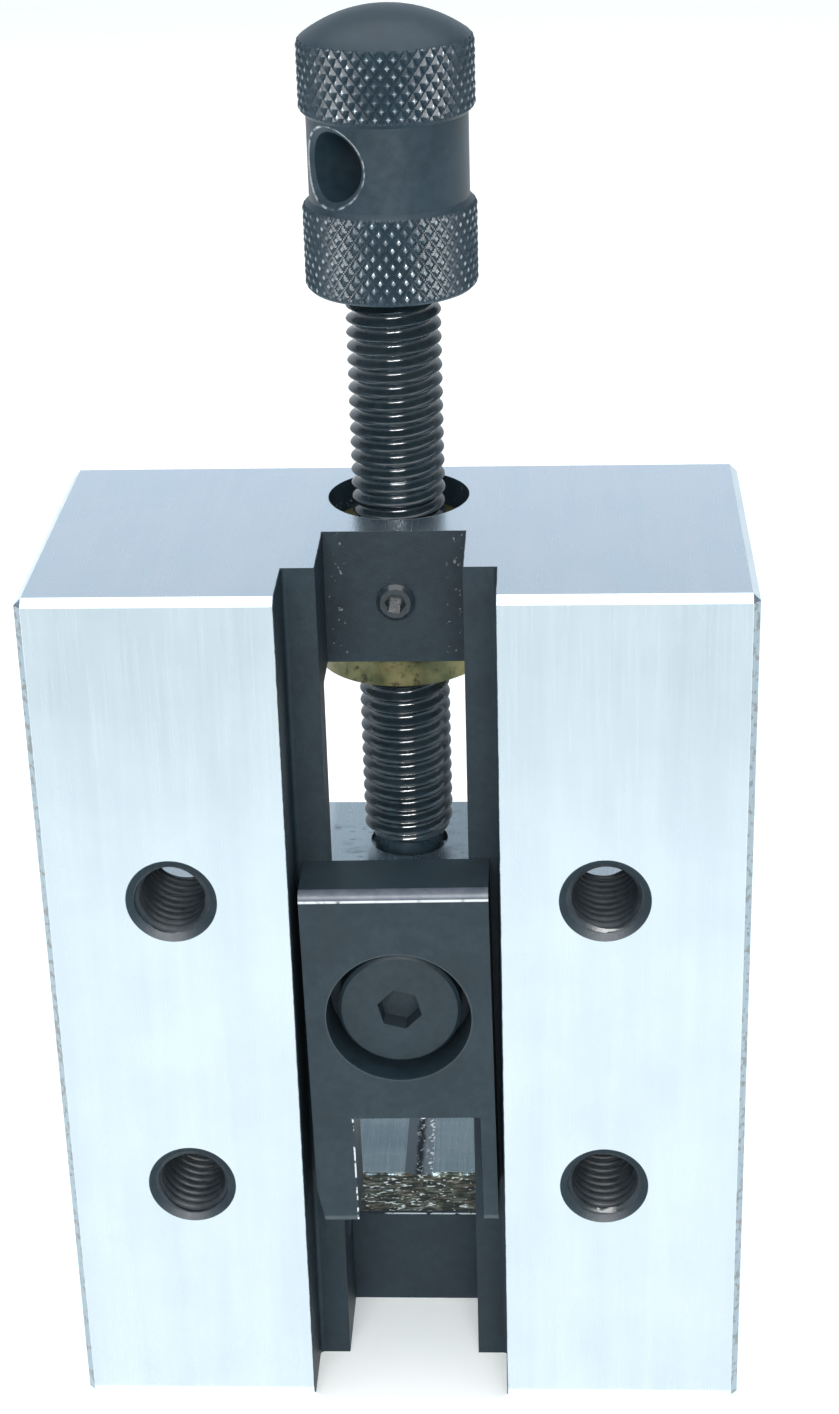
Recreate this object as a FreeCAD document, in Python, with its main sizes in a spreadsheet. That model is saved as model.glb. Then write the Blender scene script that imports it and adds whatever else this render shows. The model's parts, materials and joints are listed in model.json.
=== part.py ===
"""Screw-operated toolmaker's vise, 73 mm wide, as a parametric assembly.

Frame: +Z runs along the lead screw towards its knob, -Y is the ground base face with the four tapped
holes, and +Y is the side on which the jaws hold the work.  The origin is under the middle of the block,
on its fixed-jaw end, so that the vise stands on that end with the screw upright.  Sizes are millimetres.
"""
import FreeCAD, Part
import os
import re
import Sketcher

DOC = FreeCAD.newDocument("toolmakers_vise")

# ---------------------------------------------------------------- driving dimensions

DIMENSIONS = {
    # ground block
    "body_width": 73.0,
    "body_length": 97.4,
    "body_height": 38.2,
    "edge_chamfer": 0.8,
    "bed_height": 12.7,
    "fixed_jaw": 12.3,
    "end_wall": 14.7,
    "mouth_width": 21.6,
    "mouth_depth": 8.0,
    "slot_width": 14.8,
    "slot_depth": 18.0,
    "mouth_fillet": 0.5,
    "runout_height": 8.0,
    "runout_depth": 0.3,
    "vee_width": 3.4,
    "vee_depth": 0.65,
    # four tapped M8 holes through the bed
    "tap_thread": 8.0,
    "tap_sink": 9.4,
    "tap_sink_angle": 120.0,
    "tap_exit_edge": 0.4,
    "tap_across": 44.5,
    "tap_along": 35.0,
    "tap_centre_x": -0.7,
    "tap_centre_z": 46.35,
    # moving jaw
    "jaw_thickness": 22.0,
    "jaw_place": 34.0,
    "jaw_chamfer": 0.5,
    "slide_gap": 0.05,
    "nose_hole": 8.7,
    "nose_hole_depth": 14.0,
    # keeper plate and its screw
    "keeper_width": 19.6,
    "keeper_thick": 7.2,
    "keeper_rear": 15.0,
    "keeper_front": 25.5,
    "keeper_edge": 1.0,
    "keeper_taper": 0.7,
    "keeper_taper_length": 4.0,
    "keeper_skew": 0.8,
    "window_left": 5.4,
    "window_right": 8.2,
    "window_edge": 12.45,
    "keeper_screw_place": 15.4,
    "counterbore": 15.3,
    "counterbore_depth": 5.85,
    "screw_clearance": 8.5,
    "cap_diameter": 13.0,
    "cap_height": 3.5,
    "cap_chamfer": 0.35,
    "cap_thread": 8.0,
    "cap_length": 14.0,
    "cap_key": 4.2,
    "cap_key_depth": 2.2,
    "washer_diameter": 14.6,
    "washer_hole": 8.4,
    "washer_thick": 0.6,
    # lead screw, M10 x 1.5
    "screw_height": 28.75,
    "thread_diameter": 10.0,
    "thread_pitch": 1.5,
    "thread_root": 0.19,
    "thread_depth": 0.92,
    "thread_overcut": 0.2,
    "thread_length": 62.2,
    "thread_end": 0.9,
    "nose_diameter": 7.8,
    "nose_length": 9.35,
    "nose_edge": 0.5,
    "neck_length": 0.9,
    "neck_diameter": 9.8,
    "spigot_diameter": 8.0,
    "spigot_length": 9.0,
    "pin_groove": 5.6,
    "pin_groove_width": 2.7,
    "pin_groove_place": 5.35,
    # knob
    "knob_diameter": 17.9,
    "knob_waist": 16.4,
    "knob_low_band": 9.1,
    "knob_waist_length": 8.9,
    "knob_high_band": 7.6,
    "knob_edge": 0.7,
    "knob_crown": 2.7,
    "knob_hole_depth": 9.2,
    "bar_hole": 7.0,
    "bar_hole_place": 13.5,
    "bar_hole_turn": 44.0,
    # bronze nut and the set screw that locks it
    "nut_bore": 15.0,
    "nut_fit": 0.03,
    "nut_flange": 18.4,
    "nut_flange_thick": 3.6,
    "nut_length": 15.3,
    "nut_hole": 10.1,
    "nut_bevel": 0.6,
    "set_screw": 4.0,
    "set_screw_length": 5.0,
    "set_screw_place": 7.7,
    "set_screw_proud": 1.0,
    "set_screw_cup": 0.4,
    "set_screw_key": 2.0,
    "set_screw_key_depth": 1.8,
    "set_screw_spot": 4.3,
    "set_screw_spot_depth": 0.9,
    # inside the jaw
    "pin_diameter": 2.5,
    "pin_reach": 3.0,
    "pin_edge": 0.25,
    "ball_diameter": 6.0,
    "axial_gap": 0.05,
}

# Places that follow from the driving dimensions, as formulas.
PLACES = {
    "base_y": "-body_height / 2",
    "top_y": "body_height / 2",
    "ledge_y": "base_y + mouth_depth",
    "floor_y": "base_y + slot_depth",
    "bed_y": "base_y + bed_height",
    "axis_y": "base_y + screw_height",
    "wall_z": "body_length - end_wall",
    "tongue_y": "ledge_y - slide_gap",
    "jaw_rear_z": "jaw_place + jaw_thickness",
    "keeper_z": "jaw_place + keeper_screw_place",
    "cap_y": "tongue_y - keeper_thick + counterbore_depth - washer_thick",
    "nose_z": "jaw_rear_z - nose_hole_depth + ball_diameter + axial_gap",
    "thread_z": "nose_z + nose_length",
    "neck_z": "thread_z + thread_length",
    "knob_z": "neck_z + neck_length",
    "groove_z": "nose_z + pin_groove_place",
    "runout_y": "floor_y + runout_height",
    "pin_x": "pin_groove / 2 + axial_gap + pin_diameter / 2",
    "pin_length": "axis_y + pin_reach - tongue_y",
    "knob_length": "knob_low_band + knob_waist_length + knob_high_band + knob_crown",
}

WORD = re.compile(r"[a-z]+_[a-z_]+|[a-z]{5,}")


def formula(text):
    """The text as a FreeCAD expression, with each name looked up in the sheet."""
    def lookup(found):
        name = found.group(0)
        if name in PLACES:
            return "(" + formula(PLACES[name]) + ")"
        if name in DIMENSIONS:
            return "Sizes." + name
        raise ValueError("unknown dimension: " + name)
    return WORD.sub(lookup, str(text))


def make_sheet():
    sheet = DOC.addObject("Spreadsheet::Sheet", "Sizes")
    for row, (name, size) in enumerate(DIMENSIONS.items(), start=1):
        sheet.set("A%d" % row, name)
        sheet.set("B%d" % row, str(size))
        sheet.setAlias("B%d" % row, name)
    DOC.recompute()
    return sheet


SHEET = make_sheet()


def number(text):
    """The present value of a formula, in millimetres or degrees."""
    return float(SHEET.evalExpression(formula(text)))


# ---------------------------------------------------------------- sketches

def new_body(label):
    body = DOC.addObject("PartDesign::Body", label)
    body.Label = label
    return body


def new_sketch(body, plane, offset="0"):
    """A sketch on one of the body's own planes, moved along the plane's normal."""
    sketch = body.newObject("Sketcher::SketchObject", body.Name + "_sketch")
    support = [face for face in body.Origin.OriginFeatures if face.Role == plane][0]
    sketch.AttachmentSupport = [(support, "")]
    sketch.MapMode = "FlatFace"
    sketch.setExpression("AttachmentOffset.Base.z", formula(offset))
    return sketch


def drive(sketch, kind, place, text):
    """One dimension of a sketch, bound to a formula."""
    index = sketch.addConstraint(Sketcher.Constraint(kind, *place, number(text)))
    sketch.setExpression("Constraints[%d]" % index, formula(text))


def crown_arc(start, top):
    """The arc from a rim point up to a point on the axis, level where it gets there."""
    radius = (start.x ** 2 + (top.y - start.y) ** 2) / (2 * (top.y - start.y))
    centre = FreeCAD.Vector(0, top.y - radius, 0)
    lift = (start - centre).normalize() + FreeCAD.Vector(0, 1, 0)
    return Part.Arc(start, centre + lift.normalize() * radius, top)


def outline(sketch, corners, crowned=False):
    """A closed outline; each corner is a pair of formulas, and a crown closes it with an arc."""
    points = [FreeCAD.Vector(number(across), number(up), 0) for across, up in corners]
    for start, end in zip(points, points[1:]):
        sketch.addGeometry(Part.LineSegment(start, end), False)
    closing = crown_arc(points[-1], points[0]) if crowned else Part.LineSegment(points[-1], points[0])
    last = sketch.addGeometry(closing, False)
    edges = list(range(last + 1 - len(points), last + 1))
    for edge, following in zip(edges, edges[1:] + edges[:1]):
        sketch.addConstraint(Sketcher.Constraint("Coincident", edge, 2, following, 1))
    for edge, (across, up) in zip(edges, corners):
        drive(sketch, "DistanceX", (edge, 1), across)
        drive(sketch, "DistanceY", (edge, 1), up)
    if crowned:
        drive(sketch, "DistanceX", (last, 3), "0")


def box_outline(sketch, left, right, low, high):
    outline(sketch, [(left, low), (right, low), (right, high), (left, high)])


def circle(sketch, across, up, diameter):
    centre = FreeCAD.Vector(number(across), number(up), 0)
    index = sketch.addGeometry(Part.Circle(centre, FreeCAD.Vector(0, 0, 1), number(diameter) / 2), False)
    drive(sketch, "DistanceX", (index, 3), across)
    drive(sketch, "DistanceY", (index, 3), up)
    drive(sketch, "Diameter", (index,), diameter)


def hexagon(sketch, flats, turn):
    """A regular hexagon about the sketch's origin, turned by some degrees."""
    corner = "{0} / 2 / cos(30) * {1}({2})"
    corners = []
    for angle in range(turn, turn + 360, 60):
        corners.append((corner.format(flats, "cos", angle), corner.format(flats, "sin", angle)))
    outline(sketch, corners)


# ---------------------------------------------------------------- features

def solid_volume(body):
    DOC.recompute()
    return body.Shape.Volume


def pad(body, sketch, length, backwards=False):
    feature = body.newObject("PartDesign::Pad", body.Name + "_pad")
    feature.Profile = sketch
    feature.setExpression("Length", formula(length))
    feature.Reversed = backwards
    DOC.recompute()
    return feature


def must_cut(body, before, feature):
    if not body.Shape.Volume < before - 1e-6:
        raise RuntimeError(feature.Name + " removes nothing")


def pocket(body, sketch, length=None, both_ways=False):
    """A cut against the sketch's normal: to a depth, or through everything."""
    before = solid_volume(body)
    feature = body.newObject("PartDesign::Pocket", body.Name + "_pocket")
    feature.Profile = sketch
    if both_ways:
        feature.SideType = "Symmetric"
    if length is None:
        feature.Type = "ThroughAll"
    else:
        feature.setExpression("Length", formula(length))
    DOC.recompute()
    must_cut(body, before, feature)


def revolve(body, corners, crowned=False):
    """A turned solid about the body's Z axis; each corner is a pair (radius, height)."""
    sketch = new_sketch(body, "XZ_Plane")
    outline(sketch, corners, crowned)
    feature = body.newObject("PartDesign::Revolution", body.Name + "_turned")
    feature.Profile = sketch
    feature.ReferenceAxis = (sketch, ["V_Axis"])
    feature.Angle = 360
    DOC.recompute()
    return feature


def edges_where(feature, test):
    """Names of the feature's edges whose two end points both pass the test."""
    names = []
    for index, edge in enumerate(feature.Shape.Edges, start=1):
        if len(edge.Vertexes) == 2 and test(*[vertex.Point for vertex in edge.Vertexes]):
            names.append("Edge%d" % index)
    return names


def circles_at(feature, level, diameter):
    """Names of the feature's full circles of one diameter whose centres lie at one height y."""
    names = []
    for index, edge in enumerate(feature.Shape.Edges, start=1):
        if isinstance(edge.Curve, Part.Circle) and near(edge.Curve.Radius, number(diameter) / 2) \
                and near(edge.Curve.Center.y, number(level)):
            names.append("Edge%d" % index)
    return names


def bevel(body, feature, names, size, kind="Chamfer"):
    if not names:
        raise RuntimeError(body.Name + ": no edge to bevel")
    bevelled = body.newObject("PartDesign::" + kind, body.Name + "_" + kind.lower())
    bevelled.Base = (feature, names)
    bevelled.setExpression("Size" if kind == "Chamfer" else "Radius", formula(size))
    DOC.recompute()
    return bevelled


def place(thing, where, axis=(0, 0, 1), angle="0"):
    """Bind a sub-part's placement: a position of three formulas, and a turn about an axis."""
    thing.Placement = FreeCAD.Placement(
        FreeCAD.Vector(*[number(part) for part in where]),
        FreeCAD.Rotation(FreeCAD.Vector(*axis), number(angle)))
    for letter, part in zip("xyz", where):
        thing.setExpression("Placement.Base." + letter, formula(part))
    thing.setExpression("Placement.Rotation.Angle", formula(angle))


def near(first, second):
    return abs(first - second) < 1e-4


# ---------------------------------------------------------------- ground block

def make_vise_body():
    """Bed, fixed jaw and end wall in one block; its inner slot is deeper than the bed is thick."""
    body = new_body("vise_body")
    section = new_sketch(body, "XY_Plane")
    outline(section, [
        ("-body_width / 2", "base_y"), ("-mouth_width / 2", "base_y"),
        ("-mouth_width / 2", "ledge_y"), ("-slot_width / 2", "ledge_y"),
        ("-slot_width / 2", "floor_y"), ("slot_width / 2", "floor_y"),
        ("slot_width / 2", "ledge_y"), ("mouth_width / 2", "ledge_y"),
        ("mouth_width / 2", "base_y"), ("body_width / 2", "base_y"),
        ("body_width / 2", "top_y"), ("-body_width / 2", "top_y"),
    ])
    block = pad(body, section, "body_length")

    root_y = number("ledge_y")
    half_mouth = number("mouth_width / 2")
    roots = edges_where(block, lambda one, two: near(one.y, root_y) and near(two.y, root_y)
                        and near(abs(one.x), half_mouth) and near(one.x, two.x))
    block = bevel(body, block, roots, "mouth_fillet", "Fillet")

    half_width = number("body_width / 2")
    low_y, high_y, top_z = number("base_y"), number("top_y"), number("body_length")

    def outer(point):
        """How many of the block's outer faces a point lies on."""
        return near(abs(point.x), half_width) + near(point.y, low_y) + near(point.y, high_y) \
            + near(point.z, 0) + near(point.z, top_z)

    def on_outer_corner(one, two):
        middle = (one + two) * 0.5
        return outer(middle) >= 2
    block = bevel(body, block, edges_where(block, on_outer_corner), "edge_chamfer")

    jaw_space = new_sketch(body, "YZ_Plane")
    box_outline(jaw_space, "bed_y", "top_y + edge_chamfer", "fixed_jaw", "wall_z")
    pocket(body, jaw_space, both_ways=True)

    bore = new_sketch(body, "XY_Plane", "body_length")
    circle(bore, "0", "axis_y", "nut_bore")
    pocket(body, bore, "end_wall")

    runout = new_sketch(body, "XZ_Plane", "-floor_y")
    box_outline(runout, "-slot_width / 2", "slot_width / 2",
                "fixed_jaw - runout_depth", "fixed_jaw + runout_depth")
    pocket(body, runout, "runout_height")

    vee = new_sketch(body, "XZ_Plane", "-runout_y")
    outline(vee, [("-vee_width / 2", "fixed_jaw"), ("0", "fixed_jaw - vee_depth"),
                  ("vee_width / 2", "fixed_jaw")])
    pocket(body, vee)

    lock_hole = new_sketch(body, "XZ_Plane", "-floor_y")
    circle(lock_hole, "0", "body_length - set_screw_place", "set_screw")
    pocket(body, lock_hole, "axis_y - floor_y")

    tapped = new_sketch(body, "XZ_Plane", "-base_y")
    for side in ("-", "+"):
        for row in ("-", "+"):
            circle(tapped, "tap_centre_x %s tap_across / 2" % side,
                   "tap_centre_z %s tap_along / 2" % row, "tap_thread")
    before = solid_volume(body)
    holes = body.newObject("PartDesign::Hole", "tapped_holes")
    holes.Profile = tapped
    holes.setExpression("Diameter", formula("tap_thread"))
    holes.DepthType = "ThroughAll"
    holes.HoleCutType = "Countersink"
    holes.HoleCutCustomValues = True
    holes.setExpression("HoleCutCountersinkAngle", formula("tap_sink_angle"))
    holes.setExpression("HoleCutDiameter", formula("tap_sink"))
    DOC.recompute()
    must_cut(body, before, holes)
    bevel(body, holes, circles_at(holes, "bed_y", "tap_thread"), "tap_exit_edge")
    place(body, ("0", "0", "0"))
    return body


# ---------------------------------------------------------------- moving jaw

def make_moving_jaw():
    """A full-width block on the bed, with a tongue that reaches down through the slot."""
    body = new_body("moving_jaw")
    tongue_half = "slot_width / 2 - slide_gap"
    sole = "bed_y + slide_gap"
    section = new_sketch(body, "XY_Plane")
    outline(section, [
        ("-(%s)" % tongue_half, "tongue_y"), (tongue_half, "tongue_y"),
        (tongue_half, sole), ("body_width / 2", sole),
        ("body_width / 2", "top_y"), ("-body_width / 2", "top_y"),
        ("-body_width / 2", sole), ("-(%s)" % tongue_half, sole),
    ])
    block = pad(body, section, "jaw_thickness")

    half_width, high_y, sole_y = number("body_width / 2"), number("top_y"), number(sole)

    def outer(point):
        return near(abs(point.x), half_width) + near(point.y, high_y) \
            + near(point.z, 0) + near(point.z, number("jaw_thickness"))

    def on_outer_corner(one, two):
        middle = (one + two) * 0.5
        return outer(middle) >= 2 and middle.y > sole_y
    bevel(body, block, edges_where(block, on_outer_corner), "jaw_chamfer")

    nose_hole = new_sketch(body, "XY_Plane", "jaw_thickness")
    circle(nose_hole, "0", "axis_y", "nose_hole")
    pocket(body, nose_hole, "nose_hole_depth")

    screw_hole = new_sketch(body, "XZ_Plane", "-tongue_y")
    circle(screw_hole, "0", "keeper_screw_place", "cap_thread")
    pocket(body, screw_hole, "cap_length - 1")

    pin_holes = new_sketch(body, "XZ_Plane", "-tongue_y")
    for side in ("-", "+"):
        circle(pin_holes, side + "(pin_x)", "groove_z - jaw_place", "pin_diameter")
    pocket(body, pin_holes, "pin_length")
    place(body, ("0", "0", "jaw_place"))
    return body


# ---------------------------------------------------------------- keeper plate, screw and washer

def make_keeper_plate():
    """A fork-shaped plate under the tongue, drawn about the axis of its screw."""
    body = new_body("keeper_plate")
    half = "keeper_width / 2"
    fork = new_sketch(body, "XZ_Plane")
    outline(fork, [
        ("-(%s)" % half, "keeper_rear"), ("-(%s)" % half, "-keeper_front + keeper_taper_length"),
        ("-(%s) + keeper_taper" % half, "-keeper_front"), ("-window_left", "-keeper_front"),
        ("-window_left", "-window_edge"), ("window_right", "-window_edge"),
        ("window_right", "-keeper_front"), (half, "-keeper_front"),
        (half, "keeper_rear"),
    ])
    plate = pad(body, fork, "keeper_thick")

    face_y, rear_z = -number("keeper_thick"), number("keeper_rear")
    rear_edge = edges_where(plate, lambda one, two: near(one.y, face_y) and near(two.y, face_y)
                            and near(one.z, rear_z) and near(two.z, rear_z))
    bevel(body, plate, rear_edge, "keeper_edge", "Fillet")

    seat = new_sketch(body, "XZ_Plane", "keeper_thick")
    circle(seat, "0", "0", "counterbore")
    pocket(body, seat, "counterbore_depth")
    hole = new_sketch(body, "XZ_Plane", "keeper_thick")
    circle(hole, "0", "0", "screw_clearance")
    pocket(body, hole)
    place(body, ("0", "tongue_y", "keeper_z"), axis=(0, 1, 0), angle="-keeper_skew")
    return body


def make_keeper_screw():
    """Low-head socket cap screw; its own Z axis runs from the head's face to the tip."""
    body = new_body("keeper_screw")
    revolve(body, [
        ("0", "0"), ("cap_diameter / 2 - cap_chamfer", "0"), ("cap_diameter / 2", "cap_chamfer"),
        ("cap_diameter / 2", "cap_height"), ("cap_thread / 2", "cap_height"),
        ("cap_thread / 2", "cap_height + cap_length - cap_thread / 8"),
        ("cap_thread / 2 - cap_thread / 8", "cap_height + cap_length"), ("0", "cap_height + cap_length"),
    ])
    socket = new_sketch(body, "XY_Plane", "cap_key_depth")
    hexagon(socket, "cap_key", 15)
    pocket(body, socket)
    place(body, ("0", "cap_y - cap_height", "keeper_z"), axis=(1, 0, 0), angle="-90")
    return body


def make_keeper_washer():
    ring = DOC.addObject("Part::Cylinder", "washer_disc")
    ring.setExpression("Radius", formula("washer_diameter / 2"))
    ring.setExpression("Height", formula("washer_thick"))
    hole = DOC.addObject("Part::Cylinder", "washer_hole")
    hole.setExpression("Radius", formula("washer_hole / 2"))
    hole.setExpression("Height", formula("washer_thick"))
    washer = DOC.addObject("Part::Cut", "keeper_washer")
    washer.Base = ring
    washer.Tool = hole
    place(washer, ("0", "cap_y", "keeper_z"), axis=(1, 0, 0), angle="-90")
    return washer


# ---------------------------------------------------------------- lead screw and knob

def make_lead_screw():
    """Nose with a pin groove, M10 thread, conical neck and the spigot that holds the knob."""
    body = new_body("lead_screw")
    nose = "nose_diameter / 2"
    thread = "thread_diameter / 2"
    groove_low = "pin_groove_place - pin_groove_width / 2"
    groove_high = "pin_groove_place + pin_groove_width / 2"
    thread_top = "nose_length + thread_length"
    neck_top = thread_top + " + neck_length"
    spigot_top = neck_top + " + spigot_length"
    revolve(body, [
        ("0", "0"), (nose + " - nose_edge", "0"), (nose, "nose_edge"),
        (nose, groove_low), ("pin_groove / 2", groove_low),
        ("pin_groove / 2", groove_high), (nose, groove_high),
        (nose, "nose_length"), (thread, "nose_length + thread_end"),
        (thread, thread_top + " - thread_end"), (nose, thread_top), ("neck_diameter / 2", neck_top),
        ("spigot_diameter / 2", neck_top), ("spigot_diameter / 2", spigot_top), ("0", spigot_top),
    ])

    before = solid_volume(body)
    root = thread + " - thread_depth"
    outside = thread + " + thread_overcut"
    root_half = "thread_root / 2"
    outside_half = "(thread_root / 2 + (thread_depth + thread_overcut) * tan(30))"
    start = "nose_length - thread_pitch / 2"
    tooth = new_sketch(body, "XZ_Plane")
    outline(tooth, [
        (root, start + " - " + root_half), (outside, start + " - " + outside_half),
        (outside, start + " + " + outside_half), (root, start + " + " + root_half),
    ])
    thread_cut = body.newObject("PartDesign::SubtractiveHelix", "thread")
    thread_cut.Profile = tooth
    thread_cut.ReferenceAxis = (tooth, ["V_Axis"])
    thread_cut.Mode = "pitch-height-angle"
    thread_cut.setExpression("Pitch", formula("thread_pitch"))
    thread_cut.setExpression("Height", formula("thread_length + thread_pitch"))
    DOC.recompute()
    must_cut(body, before, thread_cut)
    place(body, ("0", "axis_y", "nose_z"))
    return body


def make_knob():
    """Two bands, a waist with a cross hole for a bar, a domed crown and a blind bore."""
    body = new_body("knob")
    rim = "knob_diameter / 2"
    bore = "spigot_diameter / 2"
    waist_top = "knob_low_band + knob_waist_length"
    crown_foot = waist_top + " + knob_high_band"
    revolve(body, [
        ("0", "knob_length"), ("0", "knob_hole_depth"), (bore, "knob_hole_depth"), (bore, "0"),
        (rim + " - knob_edge", "0"), (rim, "knob_edge"),
        (rim, "knob_low_band - knob_edge"), (rim + " - knob_edge", "knob_low_band"),
        ("knob_waist / 2", "knob_low_band"), ("knob_waist / 2", waist_top),
        (rim + " - knob_edge", waist_top), (rim, waist_top + " + knob_edge"),
        (rim, crown_foot + " - knob_edge"), (rim + " - knob_edge", crown_foot),
    ], crowned=True)
    bar = new_sketch(body, "XZ_Plane")
    circle(bar, "0", "bar_hole_place", "bar_hole")
    pocket(body, bar, both_ways=True)
    place(body, ("0", "axis_y", "knob_z"), angle="-bar_hole_turn")
    return body


# ---------------------------------------------------------------- nut, its set screw, pin and ball

def make_lead_nut():
    """Bronze bush; its flange bears on the inside of the end wall when the vise is tightened."""
    body = new_body("lead_nut")
    barrel = "nut_bore / 2 - nut_fit / 2"
    flange = "nut_flange / 2"
    revolve(body, [
        ("nut_hole / 2 + nut_bevel", "0"), (flange, "0"), (flange, "nut_flange_thick"),
        (barrel, "nut_flange_thick"), (barrel, "nut_length - nut_bevel"),
        (barrel + " - nut_bevel", "nut_length"), ("nut_hole / 2 + nut_bevel", "nut_length"),
        ("nut_hole / 2", "nut_length - nut_bevel"), ("nut_hole / 2", "nut_bevel"),
    ])
    spot = new_sketch(body, "XZ_Plane", "nut_bore / 2")
    circle(spot, "0", "end_wall + nut_flange_thick - set_screw_place", "set_screw_spot")
    pocket(body, spot, "set_screw_spot_depth")
    place(body, ("0", "axis_y", "wall_z - nut_flange_thick"))
    return body


def make_nut_set_screw():
    """Hexagon-socket set screw; its own Z axis runs from the socket end to the tip."""
    body = new_body("nut_set_screw")
    radius = "set_screw / 2"
    revolve(body, [
        ("0", "0"), (radius + " - set_screw_cup", "0"), (radius, "set_screw_cup"),
        (radius, "set_screw_length - set_screw_cup"), (radius + " - set_screw_cup", "set_screw_length"),
        ("0", "set_screw_length"),
    ])
    socket = new_sketch(body, "XY_Plane", "set_screw_key_depth")
    hexagon(socket, "set_screw_key", 10)
    pocket(body, socket)
    place(body, ("0", "floor_y - set_screw_proud", "body_length - set_screw_place"),
          axis=(1, 0, 0), angle="-90")
    return body


def make_retaining_pin(side, sign):
    """Dowel beside the screw, up from the tongue's underside, that lies in the nose's groove."""
    body = new_body("retaining_pin_" + side)
    radius = "pin_diameter / 2"
    revolve(body, [
        ("0", "0"), (radius + " - pin_edge", "0"), (radius, "pin_edge"),
        (radius, "pin_length - pin_edge"), (radius + " - pin_edge", "pin_length"), ("0", "pin_length"),
    ])
    place(body, (sign + "(pin_x)", "tongue_y", "groove_z"), axis=(1, 0, 0), angle="-90")
    return body


def make_thrust_ball():
    ball = DOC.addObject("Part::Sphere", "thrust_ball")
    ball.setExpression("Radius", formula("ball_diameter / 2"))
    place(ball, ("0", "axis_y", "jaw_rear_z - nose_hole_depth + ball_diameter / 2"))
    return ball


# ---------------------------------------------------------------- the assembly

def make_sub_parts():
    return [
        make_vise_body(), make_moving_jaw(), make_keeper_plate(), make_keeper_screw(),
        make_keeper_washer(), make_lead_screw(), make_knob(), make_lead_nut(), make_nut_set_screw(),
        make_retaining_pin("left", "-"), make_retaining_pin("right", "+"), make_thrust_ball(),
    ]


def check_document(sub_parts):
    for thing in DOC.Objects:
        if "Invalid" in thing.State or "Error" in thing.State:
            raise RuntimeError("%s is %s" % (thing.Name, thing.State))
    for part in sub_parts:
        if part.Shape.isNull() or not part.Shape.isValid() or len(part.Shape.Solids) != 1:
            raise RuntimeError(part.Label + " is not one valid solid")


def write_parts(sub_parts):
    os.makedirs("parts", exist_ok=True)
    for part in sub_parts:
        part.Shape.exportStep("parts/%s.step" % part.Label)
        print("%-20s %9.1f mm3" % (part.Label, part.Shape.Volume))


parts = make_sub_parts()
DOC.recompute()
check_document(parts)
write_parts(parts)
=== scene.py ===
"""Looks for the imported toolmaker's vise: surfaces, knurled knob, real threads, studio and camera."""

import json
import math

import bmesh
import bpy
from mathutils import Euler, Matrix, Vector


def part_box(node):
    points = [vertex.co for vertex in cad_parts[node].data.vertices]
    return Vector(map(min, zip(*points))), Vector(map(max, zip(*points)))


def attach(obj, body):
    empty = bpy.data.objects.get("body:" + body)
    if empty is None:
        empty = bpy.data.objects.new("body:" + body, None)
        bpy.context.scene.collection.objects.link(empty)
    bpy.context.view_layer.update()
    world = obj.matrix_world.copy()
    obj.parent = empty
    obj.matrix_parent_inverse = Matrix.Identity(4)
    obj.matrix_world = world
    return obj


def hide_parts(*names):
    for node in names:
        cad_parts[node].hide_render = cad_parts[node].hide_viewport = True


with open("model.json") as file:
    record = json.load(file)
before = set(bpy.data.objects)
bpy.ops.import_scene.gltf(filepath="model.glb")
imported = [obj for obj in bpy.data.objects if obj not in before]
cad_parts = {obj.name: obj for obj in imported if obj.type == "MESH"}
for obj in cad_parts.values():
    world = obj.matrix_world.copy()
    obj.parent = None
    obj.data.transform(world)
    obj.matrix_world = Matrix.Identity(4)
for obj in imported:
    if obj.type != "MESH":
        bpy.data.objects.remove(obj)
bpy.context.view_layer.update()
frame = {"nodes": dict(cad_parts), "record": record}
MM = 0.001
TURN = 2 * math.pi


# ---------------------------------------------------------------- sizes, in millimetres

def corners(node):
    """A CAD node's lowest and highest corners."""
    low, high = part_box(node)
    return low / MM, high / MM


def foot_of(node):
    """The lowest point on a turned node's axis, and the node's length."""
    low, high = corners(node)
    return Vector(((low.x + high.x) / 2, (low.y + high.y) / 2, low.z)), high.z - low.z


def mount(name):
    """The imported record's entry for a mount."""
    return next(entry for entry in frame["record"]["mounts"] if entry["name"] == name)


# knob
KNOB_FOOT, KNOB_LENGTH = foot_of("knob")
KNOB_SHARP = 28
CROWN_STEPS = 12
KNURLS_AROUND = 42
KNURL_PITCH = 1.65
KNURL_DEPTH = 0.36
KNURL_STEPS = 8
KNURL_BLUNTNESS = 1.22
BAND_RADIUS = 8.95
WAIST_RADIUS = 8.2
LOW_BAND = 9.1
WAIST = 8.9
HIGH_BAND = 7.6
BAND_EDGE = 0.55
BAR_HOLE = mount("tommy_bar_hole")
BAR_HOLE_RADIUS = BAR_HOLE["dims"]["r_mm"]
BAR_HOLE_CENTRE = Vector(BAR_HOLE["pos_m"]) / MM
BAR_HOLE_TURN = math.atan2(BAR_HOLE["axis"][0], -BAR_HOLE["axis"][1])
BAR_HOLE_EDGE = 0.6
BAR_HOLE_FLARE = 1.3 * BAR_HOLE_EDGE

# lead screw, M10 x 1.5; a tooth is a list of (share of the pitch, share of the depth)
SCREW_FOOT, SCREW_LENGTH = foot_of("lead_screw")
SCREW_SHARP = 50
SCREW_PITCH = 1.5
SCREW_CREST = 4.98
SCREW_ROOT = 4.1
ROUNDED_TOOTH = [(0.0, 0.0), (0.1, 0.02), (0.2, 0.22), (0.32, 0.66), (0.41, 0.91), (0.5, 1.0),
                 (0.59, 0.91), (0.68, 0.66), (0.8, 0.22), (0.9, 0.02)]
NOSE_RADIUS = 3.9
NOSE_LENGTH = 9.35
NOSE_EDGE = 0.5
GROOVE_RADIUS = 2.8
GROOVE_LOW = 4.0
GROOVE_HIGH = 6.7
THREAD_TOP = 71.55
NECK_TOP = 72.45
NECK_RADIUS = 4.9
SPIGOT_RADIUS = 4.0

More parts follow.
